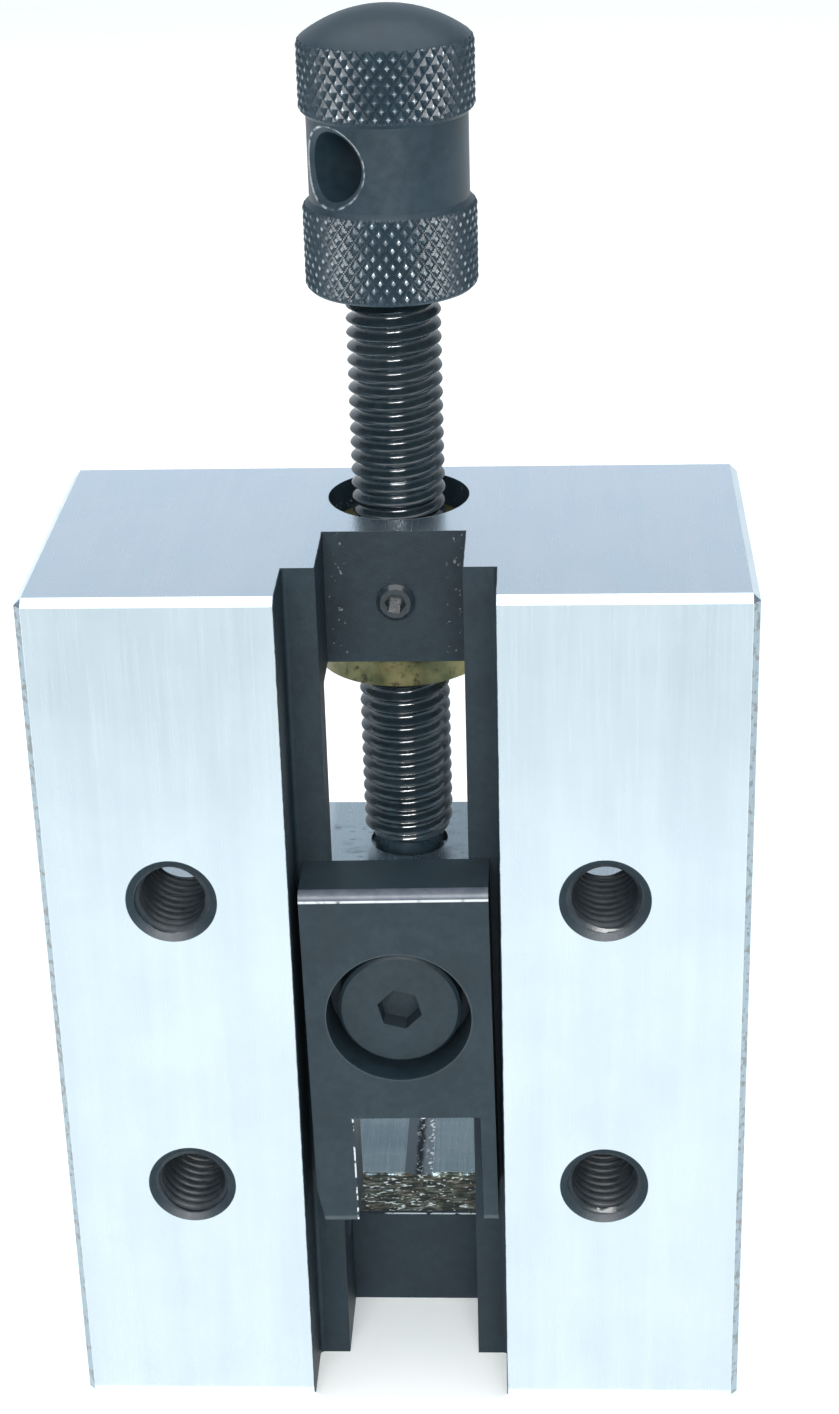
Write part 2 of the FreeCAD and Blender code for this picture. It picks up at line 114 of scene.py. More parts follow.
# M8 holes in the bed; depths run inward from the base face
TAPPED_HOLES = mount("base_tapped_holes")
TAP_CENTRE = (TAPPED_HOLES["pos_m"][0] / MM, TAPPED_HOLES["pos_m"][2] / MM)
TAP_SPACING = (TAPPED_HOLES["dims"]["spacing_x_mm"], TAPPED_HOLES["dims"]["spacing_y_mm"])
TAP_RADIUS = TAPPED_HOLES["dims"]["hole_r_mm"]
TAP_SHARP = 40
TAP_CREST = 3.4
TAP_ROOT = 3.93
TAP_SKIN = 4.02
TAP_PITCH = 1.25
TAP_SINK = 4.7
TAP_SINK_SLOPE = math.tan(math.radians(60))
TAP_START = 0.42
TAP_END = 12.28
CUT_TOOTH = [(0.0, 0.0), (0.08, 0.05), (0.25, 0.5), (0.42, 0.95), (0.5, 1.0), (0.58, 0.95),
             (0.75, 0.5), (0.92, 0.05)]

# ground block with its slot and bore
BASE_Y = corners("vise_body")[0].y
HALF_WIDTH = corners("vise_body")[1].x
JAW_FACE_Z = mount("fixed_jaw_face")["pos_m"][2] / MM
JAW_REAR_Z = corners("moving_jaw")[1].z
AXIS_Y = KNOB_FOOT.y
MOUTH_HALF = 10.8
LEDGE_Y = -11.1
SLOT_HALF = 7.4
FLOOR_Y = -1.1
RUNOUT_Y = 6.9
BORE_RADIUS = 7.5
WALL_Z = 82.7
VEE_HALF = 1.7

# keeper plate, drawn about its screw and turned a little
KEEPER_Z = sum(corner.z for corner in corners("keeper_screw")) / 2
KEEPER_FACE_Y = corners("keeper_plate")[0].y
KEEPER_TURN = math.radians(0.8)
KEEPER_REAR = 15.0
KEEPER_EDGE = 1.0
KEEPER_TIP = -25.5
COUNTERBORE_RADIUS = 7.65
WINDOW_LEFT = -5.4
WINDOW_TOP = -12.45


# ---------------------------------------------------------------- meshes

def new_piece(name, vertices, faces, body, sharp):
    """A mesh in the vise's own frame, from millimetres, riding on a body."""
    mesh = bpy.data.meshes.new(name)
    mesh.from_pydata([vertex * MM for vertex in vertices], [], faces)
    work = bmesh.new()
    work.from_mesh(mesh)
    bmesh.ops.remove_doubles(work, verts=work.verts, dist=0.002 * MM)
    bmesh.ops.recalc_face_normals(work, faces=work.faces)
    work.to_mesh(mesh)
    work.free()
    mesh.shade_smooth()
    mesh.set_sharp_from_angle(angle=math.radians(sharp))
    piece = bpy.data.objects.new(name, mesh)
    bpy.context.scene.collection.objects.link(piece)
    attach(piece, body)
    return piece


def turned(rows, closed=False):
    """Vertices and faces of a surface about the Z axis, from rows of (radius, height).

    A row's last point is one full turn after its first.  Neighbouring cells are split along
    opposite diagonals, so that creases that cross the grid at a slant follow its edges.
    """
    columns = len(rows[0]) - 1
    vertices = []
    for row in rows:
        for column, (radius, height) in enumerate(row):
            angle = TURN * column / columns
            vertices.append(Vector((radius * math.cos(angle), radius * math.sin(angle), height)))
    faces = []
    for low in range(len(rows) if closed else len(rows) - 1):
        high = (low + 1) % len(rows)
        for left in range(columns):
            a, b = low * (columns + 1) + left, low * (columns + 1) + left + 1
            d, c = high * (columns + 1) + left, high * (columns + 1) + left + 1
            faces += [(a, b, c), (a, c, d)] if (low + left) % 2 == 0 else [(a, b, d), (b, c, d)]
    return vertices, faces


def level(radius, height, columns):
    """A row that keeps one radius and one height."""
    return [(radius, height)] * (columns + 1)


def helix(tooth, pitch, low, high, columns, radius_at):
    """Rows along a right-hand helix, cut off level at both ends."""
    rows = []
    for turn in range(math.floor(low / pitch) - 1, math.ceil(high / pitch) + 1):
        for along, rise in tooth:
            row = []
            for column in range(columns + 1):
                height = (turn + along + column / columns) * pitch
                height = min(max(height, low), high)
                row.append((radius_at(rise, height), height))
            rows.append(row)
    return rows


def triangle_wave(phase):
    """0 at whole numbers and 1 half-way between them."""
    return 1 - abs(2 * (phase % 1.0) - 1)


def knurled_band(foot, band):
    """Rows of crossed grooves, between two bevelled edges."""
    columns = KNURLS_AROUND * KNURL_STEPS
    count = round(band / KNURL_PITCH * KNURL_STEPS)
    rows = []
    for step in range(count + 1):
        rise = band * step / count
        cone = BAND_RADIUS - BAND_EDGE + min(rise, band - rise)
        row = []
        for column in range(columns + 1):
            around, along = column / KNURL_STEPS, step / KNURL_STEPS
            tip = min(triangle_wave(around + along), triangle_wave(around - along))
            radius = BAND_RADIUS - KNURL_DEPTH * (1 - min(1.0, KNURL_BLUNTNESS * tip))
            row.append((min(radius, cone), foot + rise))
        rows.append(row)
    return rows


def make_knob():
    """Two knurled bands, a waist with a cross hole, and a domed crown."""
    columns = KNURLS_AROUND * KNURL_STEPS
    waist_top = LOW_BAND + WAIST
    rim = BAND_RADIUS - BAND_EDGE
    fillet = rim - WAIST_RADIUS
    rows = [level(0, 0, columns)]
    rows += knurled_band(0, LOW_BAND)
    rows += [level(WAIST_RADIUS, height, columns) for height in (LOW_BAND + fillet, waist_top - fillet)]
    rows += knurled_band(waist_top, HIGH_BAND)
    rise = KNOB_LENGTH - waist_top - HIGH_BAND
    sphere = (rim ** 2 + rise ** 2) / (2 * rise)
    edge_angle = math.asin(rim / sphere)
    for step in range(1, CROWN_STEPS + 1):
        angle = edge_angle * (1 - step / CROWN_STEPS)
        drop = sphere * (1 - math.cos(angle))
        rows.append(level(sphere * math.sin(angle), KNOB_LENGTH - drop, columns))
    vertices, faces = turned(rows)
    knob = new_piece("knurled_knob", [vertex + KNOB_FOOT for vertex in vertices], faces, "spindle",
                     KNOB_SHARP)
    drill_bar_hole(knob)
    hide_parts("knob")
    return knob


def drill_bar_hole(knob):
    """Cuts the cross hole, whose two mouths flare out to follow the waist."""
    sides = 72
    reach = 12.0
    aim = Matrix.Rotation(BAR_HOLE_TURN, 3, "Z")
    wide = BAR_HOLE_RADIUS + BAR_HOLE_FLARE
    past = BAR_HOLE_FLARE - BAR_HOLE_EDGE

    def ring_at(radius, depth_at):
        spokes = [(radius * math.cos(TURN * side / sides), radius * math.sin(TURN * side / sides))
                  for side in range(sides)]
        return [(BAR_HOLE_CENTRE + aim @ Vector((across, depth_at(across), up))) * MM
                for across, up in spokes]

    def waist_at(across):
        return math.sqrt(WAIST_RADIUS ** 2 - across ** 2)

    vertices = []
    for radius, depth_at in ((wide, lambda across: -reach),
                             (wide, lambda across: -waist_at(across) - past),
                             (BAR_HOLE_RADIUS, lambda across: -waist_at(across) + BAR_HOLE_EDGE),
                             (BAR_HOLE_RADIUS, lambda across: waist_at(across) - BAR_HOLE_EDGE),
                             (wide, lambda across: waist_at(across) + past),
                             (wide, lambda across: reach)):
        vertices += ring_at(radius, depth_at)
    faces = []
    for ring in range(len(vertices) // sides - 1):
        low, high = ring * sides, (ring + 1) * sides
        faces += [(low + side, high + side, high + (side + 1) % sides, low + (side + 1) % sides)
                  for side in range(sides)]
    faces += [tuple(range(sides)), tuple(range(len(vertices) - 1, len(vertices) - sides - 1, -1))]
    mesh = bpy.data.meshes.new("bar_hole_tool")
    mesh.from_pydata(vertices, [], faces)
    tool = bpy.data.objects.new("bar_hole_tool", mesh)
    bpy.context.scene.collection.objects.link(tool)

    cut = knob.modifiers.new("bar_hole", "BOOLEAN")
    cut.operation = "DIFFERENCE"
    cut.solver = "EXACT"
    cut.object = tool
    shape = bpy.data.meshes.new_from_object(knob.evaluated_get(bpy.context.evaluated_depsgraph_get()))
    knob.modifiers.clear()
    knob.data = shape
    bpy.data.objects.remove(tool)
    shape.shade_smooth()
    shape.set_sharp_from_angle(angle=math.radians(KNOB_SHARP))


def make_screw():
    """M10 screw: nose with its pin groove, rounded thread, conical neck and spigot."""
    columns = 72

    def radius_at(rise, height):
        tooth = SCREW_ROOT + (SCREW_CREST - SCREW_ROOT) * rise
        return min(tooth, NOSE_RADIUS + height - NOSE_LENGTH, NOSE_RADIUS + THREAD_TOP - height)

    profile = [(0, 0), (NOSE_RADIUS - NOSE_EDGE, 0), (NOSE_RADIUS, NOSE_EDGE), (NOSE_RADIUS, GROOVE_LOW),
               (GROOVE_RADIUS, GROOVE_LOW), (GROOVE_RADIUS, GROOVE_HIGH), (NOSE_RADIUS, GROOVE_HIGH)]
    rows = [level(radius, height, columns) for radius, height in profile]
    rows += helix(ROUNDED_TOOTH, SCREW_PITCH, NOSE_LENGTH, THREAD_TOP, columns, radius_at)
    profile = [(NECK_RADIUS, NECK_TOP), (SPIGOT_RADIUS, NECK_TOP), (SPIGOT_RADIUS, SCREW_LENGTH),
               (0, SCREW_LENGTH)]
    rows += [level(radius, height, columns) for radius, height in profile]
    vertices, faces = turned(rows)
    screw = new_piece("threaded_screw", [vertex + SCREW_FOOT for vertex in vertices], faces, "spindle",
                      SCREW_SHARP)
    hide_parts("lead_screw")
    return screw


def make_tapped_thread(name, x, z, lead_in):
    """The thread inside one tapped hole, as a closed ring from the countersink to the far bevel."""
    columns = 60

    def radius_at(rise, depth):
        tooth = TAP_ROOT - (TAP_ROOT - TAP_CREST) * rise
        return max(tooth, TAP_SINK - depth * TAP_SINK_SLOPE, TAP_RADIUS - TAP_END + depth)

    rows = [level(TAP_SKIN, TAP_START, columns)]
    rows += helix(CUT_TOOTH, TAP_PITCH, TAP_START, TAP_END, columns, radius_at)
    rows += [level(TAP_SKIN, TAP_END, columns)]
    vertices, faces = turned(rows, closed=True)
    inward = Matrix.Rotation(math.radians(-90), 3, "X") @ Matrix.Rotation(lead_in, 3, "Z")
    mouth = Vector((x, BASE_Y, z))
    return new_piece(name, [mouth + inward @ vertex for vertex in vertices], faces, "bed",
                     TAP_SHARP)


# ---------------------------------------------------------------- materials

class Surface:
    """One material: a Principled shader fed by nodes that read the object's own coordinates."""

    def __init__(self, name, constants):
        self.material = bpy.data.materials.new(name)
        self.material.use_nodes = True
        self.tree = self.material.node_tree
        self.tree.nodes.clear()
        self.shader = self.node("BsdfPrincipled", constants)
        output = self.node("OutputMaterial", {})
        self.tree.links.new(self.shader.outputs["BSDF"], output.inputs["Surface"])
        coordinates = self.node("TexCoord", {})
        scaled = self.node("VectorMath", {"Vector": coordinates.outputs["Object"], "Scale": 1 / MM},
                           operation="SCALE")
        self.place = scaled.outputs["Vector"]
        self.x, self.y, self.z = self.node("SeparateXYZ", {"Vector": self.place}).outputs
        facing = self.node("SeparateXYZ", {"Vector": coordinates.outputs["Normal"]})
        self.face_x, self.face_y, self.face_z = facing.outputs

    def node(self, kind, inputs, **settings):
        made = self.tree.nodes.new("ShaderNode" + kind)
        for key, setting in settings.items():
            setattr(made, key, setting)
        for key, value in inputs.items():
            self.feed(made.inputs[key], value)
        return made

    def feed(self, socket, value):
        if isinstance(value, bpy.types.NodeSocket):
            self.tree.links.new(value, socket)
        else:
            socket.default_value = value

    def math(self, operation, *values):
        """One step of arithmetic on numbers or sockets."""
        return self.node("Math", dict(enumerate(values)), operation=operation).outputs[0]

    def ramp(self, value, low, high):
        """0 below one level and 1 above the other, smooth in between."""
        return self.node("MapRange", {"Value": value, "From Min": low, "From Max": high},
                         interpolation_type="SMOOTHSTEP").outputs["Result"]

    def noise(self, scale, stretch=(1, 1, 1), detail=3.0, roughness=0.55, shift=0.0):
        """Noise with `scale` features per millimetre along each axis, less where stretch is under 1."""
        place = self.node("VectorMath", {0: self.place, 1: stretch, 2: (shift, shift, shift)},
                          operation="MULTIPLY_ADD").outputs["Vector"]
        return self.node("TexNoise", {"Vector": place, "Scale": scale, "Detail": detail,
                                      "Roughness": roughness}).outputs[0]

    def blend(self, share, low, high):
        """Between two numbers or sockets."""
        return self.node("Mix", {0: share, 2: low, 3: high}, data_type="FLOAT").outputs[0]

    def tint(self, share, low, high):
        """Between two colours or sockets."""
        low, high = [(*value, 1) if isinstance(value, tuple) else value for value in (low, high)]
        return self.node("Mix", {0: share, 6: low, 7: high}, data_type="RGBA").outputs[2]

    def size(self, value, centre=0.0):
        """How far a value is from a centre."""
        return self.math("ABSOLUTE", self.math("SUBTRACT", value, centre))

    def distance(self, one, two):
        """Length of the vector with these two parts."""
        return self.math("SQRT", self.math("ADD", self.math("POWER", self.math("ABSOLUTE", one), 2.0),
                                           self.math("POWER", self.math("ABSOLUTE", two), 2.0)))

    def above(self, value, limit, softness=0.04):
        """1 where a value is over a limit."""
        return self.ramp(value, limit - softness, limit + softness)

    def below(self, value, limit, softness=0.04):
        """1 where a value is under a limit."""
        return self.math("SUBTRACT", 1.0, self.above(value, limit, softness))

    def near(self, value, centre, limit, softness=0.04):
        """1 where a value is within a limit of a centre."""
        return self.below(self.size(value, centre), limit, softness)

    def specks(self, scale, level, stretch=(1, 1, 1), shift=0.0):
        """1 on scattered small spots; a higher level leaves fewer of them."""
        return self.ramp(self.noise(scale, stretch, detail=2.0, shift=shift), level, level + 0.05)

    def both(self, *shares):
        """The product: 1 only where each share is 1."""
        product = shares[0]
        for share in shares[1:]:
            product = self.math("MULTIPLY", product, share)
        return product

    def either(self, *shares):
        """The largest: 1 where any share is 1."""
        largest = shares[0]
        for share in shares[1:]:
            largest = self.math("MAXIMUM", largest, share)
        return largest

    def relief(self, height, depth, strength=1.0):
        """Bump from a height of 0 to 1 that stands for a depth in millimetres."""
        return self.node("Bump", {"Height": height, "Distance": depth * MM,
                                  "Strength": strength}).outputs["Normal"]

    def finish(self, colour, metallic, roughness, normal):
        """Feeds the shader and returns the material."""
        for key, value in (("Base Color", colour), ("Metallic", metallic), ("Roughness", roughness),
                           ("Normal", normal)):
            self.feed(self.shader.inputs[key], value)
        return self.material


STEEL_SHEEN = {"IOR": 1.5}
OXIDE_SHEEN = {"IOR": 1.5, "Specular IOR Level": 0.32}
KNOB_SHEEN = {"IOR": 1.5, "Specular IOR Level": 0.28}
OILY_SHEEN = {"IOR": 1.5, "Specular IOR Level": 0.6}
PIT_DEPTH = 0.02
PITTING = 0.6
OILY_PITTING = 0.25


def ground_finish(surface):
    """Surface-ground steel: soft bands, fine grinding lines and faint blotches, with painted light making the
    faces that look up or down lighter and bluer than the sides.
    """
    on_end = surface.above(surface.size(surface.face_z), 0.7, 0.1)
    band_side = surface.noise(0.35, (1, 1, 0.05), shift=3.0)
    band_end = surface.noise(0.35, (1, 0.05, 1), shift=7.0)
    line_side = surface.noise(3.0, (1, 1, 0.03), shift=11.0)
    line_end = surface.noise(3.0, (1, 0.03, 1), shift=13.0)
    band = surface.blend(on_end, band_side, band_end)
    line = surface.blend(on_end, line_side, line_end)
    blotch = surface.noise(0.12, shift=17.0, detail=4.0)
    share = surface.ramp(surface.blend(0.5, band, blotch), 0.35, 0.65)
    side = surface.tint(share, (0.71, 0.81, 0.885), (0.77, 0.87, 0.935))
    # painted light: faces that look up or down get a lighter, bluer copy of the steel's colour
    lit_end = surface.tint(share, (0.76, 0.89, 0.99), (0.83, 0.91, 1.0))
    roughness = surface.math("MULTIPLY_ADD", line, 0.12, 0.2)
    return surface.tint(on_end, side, lit_end), roughness, line


def oxide_finish(surface, dark, light, least_rough):
    """Black-oxide steel: mottled slate with small pits."""
    mottle = surface.noise(0.9, detail=5.0, roughness=0.65)
    cloud = surface.noise(0.16, shift=5.0, detail=3.0)
    colour = surface.tint(surface.ramp(surface.blend(0.5, mottle, cloud), 0.35, 0.65), dark, light)
    grain = surface.noise(5.0, detail=3.0, shift=9.0)
    roughness = surface.math("MULTIPLY_ADD", mottle, 0.2, least_rough)
    return colour, roughness, grain


def blackened(surface):
    """Where the block is black: its slot and mouth, the four holes and the bore."""
    ragged = surface.math("MULTIPLY_ADD", surface.noise(0.8, detail=5.0, shift=21.0), 0.125, -0.0625)
    off_centre = surface.math("ADD", surface.size(surface.x), ragged)
    mouth = surface.both(surface.below(off_centre, MOUTH_HALF + 0.11),
                         surface.below(surface.y, LEDGE_Y + 0.1))
    slot = surface.both(surface.below(off_centre, SLOT_HALF + 0.11),
                        surface.below(surface.y, FLOOR_Y + 0.06))
    shoulder = surface.both(surface.below(off_centre, SLOT_HALF + 2.0),
                            surface.below(surface.y, -2.0, 0.5),
                            surface.near(surface.z, JAW_FACE_Z, 1.0))
    across = surface.math("SUBTRACT", surface.size(surface.x, TAP_CENTRE[0]), TAP_SPACING[0] / 2)
    along = surface.math("SUBTRACT", surface.size(surface.z, TAP_CENTRE[1]), TAP_SPACING[1] / 2)
    holes = surface.both(surface.below(surface.distance(across, along), TAP_SINK + 0.04),
                         surface.below(surface.y, -6.5, 0.1))
    from_axis = surface.distance(surface.x, surface.math("SUBTRACT", surface.y, AXIS_Y))
    bore = surface.both(surface.below(from_axis, BORE_RADIUS + 0.05),
                        surface.above(surface.z, WALL_Z + 0.1, 0.1))
    return surface.either(mouth, slot, shoulder, holes, bore)


def vee_tone(surface):
    """The V groove: painted shade on the left flank and painted light on the right, chips on the right edge,
    and painted shade along the bottom, speckled pale.
    """
    wander = surface.math("MULTIPLY_ADD", surface.noise(0.6, detail=4.0, shift=53.0), 0.9, -0.45)
    middle = surface.below(surface.size(surface.math("ADD", surface.x, wander)), 0.42, 0.25)
    # painted light and shade: the left flank darker, the right flank lighter
    flank = surface.tint(surface.above(surface.x, 0.3, 0.8), (0.10, 0.125, 0.15), (0.17, 0.205, 0.23))
    chipped = surface.both(surface.above(surface.x, 0.9, 0.3), surface.specks(1.8, 0.55, shift=55.0))
    flank = surface.tint(chipped, flank, (0.75, 0.80, 0.82))
    # painted shade along the groove's bottom, speckled pale
    pits = surface.noise(1.6, detail=5.0, roughness=0.7, shift=51.0)
    core = surface.tint(surface.ramp(pits, 0.54, 0.62), (0.012, 0.018, 0.024), (0.50, 0.56, 0.58))
    return surface.tint(middle, flank, core)


def rough_tone(surface):
    """The unground band of the fixed jaw's face: dark scale, brown patches, bright flecks, and a broken
    painted highlight along its lower edge.
    """
    streaks = surface.noise(1.9, (0.3, 1, 1), detail=4.0, roughness=0.7, shift=41.0)
    patches = surface.noise(0.45, detail=3.0, shift=43.0)
    tone = surface.tint(surface.ramp(patches, 0.4, 0.6), (0.10, 0.105, 0.07), (0.15, 0.12, 0.08))
    tone = surface.tint(surface.ramp(streaks, 0.38, 0.62), (0.018, 0.024, 0.022), tone)
    tone = surface.tint(surface.ramp(streaks, 0.52, 0.75), tone, (0.36, 0.40, 0.34))
    tone = surface.tint(surface.specks(2.6, 0.60, (0.5, 1, 1), shift=47.0), tone, (0.85, 0.90, 0.85))
    lip = surface.below(surface.y, FLOOR_Y + 0.75, 0.2)
    # painted highlight: a broken bright line along the edge by the slot's floor
    edge_highlight = surface.both(surface.below(surface.y, FLOOR_Y + 0.3, 0.1),
                             surface.above(surface.x, -3.4, 0.4),
                             surface.ramp(surface.noise(0.9, shift=49.0), 0.40, 0.46))
    lip_tone = surface.tint(edge_highlight, (0.018, 0.026, 0.032), (0.85, 0.90, 0.90))
    return surface.tint(lip, tone, lip_tone), streaks


def block_material():
    """Ground steel outside, with painted shade on the fixed jaw's face; black in the slot, the holes and the
    bore; rough above the slot's floor.
    """
    surface = Surface("ground_block", OXIDE_SHEEN)
    steel, steel_rough, lines = ground_finish(surface)
    black, black_rough, grain = oxide_finish(surface, (0.0042, 0.0160, 0.0260), (0.0075, 0.0245, 0.0375), 0.4)
    dark = blackened(surface)

    on_jaw = surface.both(surface.near(surface.z, JAW_FACE_Z - 0.5, 0.9),
                          surface.below(surface.size(surface.x), SLOT_HALF + 2.0),
                          surface.above(surface.y, FLOOR_Y - 0.3, 0.1))
    # painted shade: the fixed jaw's face darker than the same steel elsewhere, in soft streaks
    shade_streaks = surface.noise(0.3, (0.3, 1, 1), detail=4.0, shift=27.0)
    shaded_jaw = surface.tint(surface.ramp(shade_streaks, 0.3, 0.7), (0.34, 0.46, 0.52), (0.46, 0.56, 0.62))
    groove = surface.both(on_jaw, surface.below(surface.size(surface.x), VEE_HALF, 0.12))
    edge = surface.math("MULTIPLY_ADD", surface.noise(0.5, detail=4.0, shift=31.0), 1.4, RUNOUT_Y - 0.75)
    rough = surface.both(on_jaw, surface.above(surface.y, FLOOR_Y, 0.05),
                         surface.below(surface.math("SUBTRACT", surface.y, edge), 0.0, 0.15))
    scale, streaks = rough_tone(surface)

    long_edge = surface.both(surface.above(surface.size(surface.x), HALF_WIDTH - 0.75, 0.05),
                             surface.above(surface.size(surface.y), -BASE_Y - 0.75, 0.05))
    # the long chamfers darker blue-grey than the faces, with darker specks of wear
    chamfer_tone = surface.tint(surface.specks(1.3, 0.54, shift=91.0), (0.34, 0.41, 0.47), (0.25, 0.27, 0.27))
    scuffed = surface.both(surface.above(surface.z, WALL_Z + 0.8, 0.5),
                           surface.near(surface.size(surface.x), 6.2, 0.9, 0.3),
                           surface.specks(1.9, 0.66, shift=95.0))

    colour = surface.tint(on_jaw, steel, shaded_jaw)
    colour = surface.tint(groove, colour, vee_tone(surface))
    colour = surface.tint(rough, colour, scale)
    colour = surface.tint(long_edge, colour, chamfer_tone)
    colour = surface.tint(dark, colour, surface.tint(scuffed, black, (0.16, 0.19, 0.21)))
    metallic = surface.blend(rough, surface.blend(groove, 1.0, 0.8), 0.5)
    metallic = surface.blend(dark, metallic, 0.0)
    roughness = surface.blend(rough, surface.blend(groove, steel_rough, 0.45), 0.42)
    roughness = surface.blend(dark, roughness, black_rough)
    height = surface.blend(rough, surface.math("MULTIPLY", lines, 0.05),
                           surface.math("MULTIPLY", streaks, 0.5))
    height = surface.blend(dark, height, surface.math("MULTIPLY", grain, 0.3))
    return surface.finish(colour, metallic, roughness, surface.relief(height, 0.12, 0.8))


def jaw_material():
    """Ground steel; on the tongue that runs in the slot, smudges, and painted shade on its rear face that
    darkens towards the right.
    """
    surface = Surface("ground_jaw", STEEL_SHEEN)
    steel, roughness, lines = ground_finish(surface)
    in_slot = surface.below(surface.size(surface.x), 9.0, 0.5)
    on_rear = surface.both(surface.above(surface.z, JAW_REAR_Z - 0.1), in_slot)
    # painted shade: the rear face in the slot darker than the steel, and darker towards the right
    shaded_rear = surface.tint(surface.ramp(surface.x, -7.0, 8.0), (0.60, 0.72, 0.80), (0.42, 0.51, 0.58))
    colour = surface.tint(on_rear, steel, shaded_rear)
    cloud = surface.noise(0.4, (0.5, 1, 1), detail=5.0, roughness=0.65, shift=61.0)
    smudge = surface.both(in_slot, surface.below(surface.y, 15.0, 2.0), surface.ramp(cloud, 0.5, 0.7))
    scratch = surface.both(on_rear, surface.specks(1.4, 0.64, (0.4, 1, 1), shift=63.0))
    colour = surface.tint(surface.math("MULTIPLY", smudge, 0.55), colour, (0.20, 0.22, 0.24))
    colour = surface.tint(surface.math("MULTIPLY", scratch, 0.35), colour, (0.12, 0.14, 0.15))
    return surface.finish(colour, 1.0, roughness, surface.relief(lines, 0.006, 0.6))


def oxide_material(name, dark, light, least_rough, sheen=OXIDE_SHEEN, pitting=PITTING):
    """One black-oxide surface all over."""
    surface = Surface(name, sheen)
    colour, roughness, grain = oxide_finish(surface, dark, light, least_rough)
    return surface.finish(colour, 0.0, roughness, surface.relief(grain, PIT_DEPTH, pitting))


def keeper_material():
    """Slate oxide, rubbed to metal along the rear edge and the window's left side; the prongs' ends lighter,
    and a painted highlight round the counterbore's rim.
    """
    surface = Surface("keeper_slate", OXIDE_SHEEN)
    slate, roughness, grain = oxide_finish(surface, (0.0090, 0.0215, 0.0310), (0.0145, 0.0320, 0.0445), 0.38)
    lift = surface.math("SUBTRACT", surface.z, KEEPER_Z)
    across = surface.math("MULTIPLY_ADD", lift, math.sin(KEEPER_TURN), surface.x)
    along = surface.math("MULTIPLY_ADD", surface.x, -math.sin(KEEPER_TURN), lift)
    fade = surface.noise(0.7, detail=4.0, shift=101.0)
    rear_edge = surface.both(surface.above(along, KEEPER_REAR - KEEPER_EDGE + 0.05, 0.05),
                             surface.below(surface.y, KEEPER_FACE_Y + KEEPER_EDGE, 0.05))
    rear_line = surface.both(surface.near(along, KEEPER_REAR - KEEPER_EDGE, 0.13, 0.05),
                             surface.below(surface.y, KEEPER_FACE_Y + 0.1, 0.05),
                             surface.ramp(fade, 0.28, 0.45))
    on_face = surface.below(surface.y, KEEPER_FACE_Y + 0.25, 0.1)
    window_line = surface.both(on_face, surface.near(across, WINDOW_LEFT, 0.16, 0.05),
                               surface.below(along, WINDOW_TOP + 0.2, 0.1),
                               surface.ramp(surface.noise(1.1, shift=103.0), 0.47, 0.53))
    # painted highlight: a faint lighter ring round the counterbore's rim
    rim = surface.both(on_face, surface.near(surface.distance(surface.x, lift), COUNTERBORE_RADIUS, 0.12))
    tip = surface.both(on_face, surface.below(along, KEEPER_TIP + 0.45, 0.15))
    rubbed = surface.tint(surface.ramp(fade, 0.3, 0.7), (0.060, 0.078, 0.105), (0.095, 0.115, 0.145))
    colour = surface.tint(rear_edge, slate, rubbed)
    # the prongs' ends and the painted highlight round the counterbore share one lighter slate
    colour = surface.tint(surface.either(tip, surface.math("MULTIPLY", rim, fade)), colour,
                          (0.050, 0.072, 0.084))
    bare = surface.either(rear_line, window_line)
    colour = surface.tint(bare, colour, (0.62, 0.65, 0.68))
    return surface.finish(colour, surface.math("MULTIPLY", bare, 0.5), roughness,
                          surface.relief(grain, PIT_DEPTH, PITTING))


def knob_material():
    """Dark blue oxide with the knurls' tips polished by use, and a painted highlight round the bar hole's
    rims.
    """
    surface = Surface("knob_oxide", KNOB_SHEEN)
    oxide, roughness, grain = oxide_finish(surface, (0.012, 0.027, 0.039), (0.020, 0.040, 0.057), 0.32)
    from_axis = surface.distance(surface.x, surface.math("SUBTRACT", surface.y, AXIS_Y))
    tips = surface.above(from_axis, BAND_RADIUS - 0.06, 0.04)
    sideways = surface.math("ADD", surface.math("MULTIPLY", surface.x, math.cos(BAR_HOLE_TURN)),
                            surface.math("MULTIPLY", surface.math("SUBTRACT", surface.y, AXIS_Y),
                                         math.sin(BAR_HOLE_TURN)))
    from_hole = surface.distance(sideways, surface.math("SUBTRACT", surface.z, BAR_HOLE_CENTRE.z))
    # painted highlight round both mouths of the bar hole
    rim = surface.both(surface.near(from_hole, BAR_HOLE_RADIUS + BAR_HOLE_EDGE, 0.1),
                       surface.above(from_axis, WAIST_RADIUS - 0.3, 0.1),
                       surface.ramp(surface.noise(0.9, shift=115.0), 0.35, 0.65))
    patchy = surface.ramp(surface.noise(0.35, shift=111.0), 0.32, 0.68)
    polish_and_rim_highlight = surface.either(surface.math("MULTIPLY", tips, patchy), rim)
    colour = surface.tint(polish_and_rim_highlight, oxide, (0.44, 0.49, 0.53))
    return surface.finish(colour, surface.math("MULTIPLY", polish_and_rim_highlight, 0.8),
                          surface.blend(polish_and_rim_highlight, roughness, 0.25),
                          surface.relief(grain, PIT_DEPTH, PITTING))


def bronze_material():
    """Turned bronze with brown and green stains."""
    surface = Surface("aged_bronze", STEEL_SHEEN)
    stain = surface.noise(0.8, detail=6.0, roughness=0.7, shift=71.0)
    wash = surface.noise(0.25, shift=77.0)
    metal = surface.tint(surface.ramp(wash, 0.35, 0.65), (0.10, 0.105, 0.05), (0.21, 0.19, 0.09))
    colour = surface.tint(surface.ramp(stain, 0.52, 0.68), metal, (0.05, 0.04, 0.025))
    roughness = surface.math("MULTIPLY_ADD", stain, 0.3, 0.2)
    return surface.finish(colour, 0.85, roughness, surface.relief(stain, 0.05, 0.6))


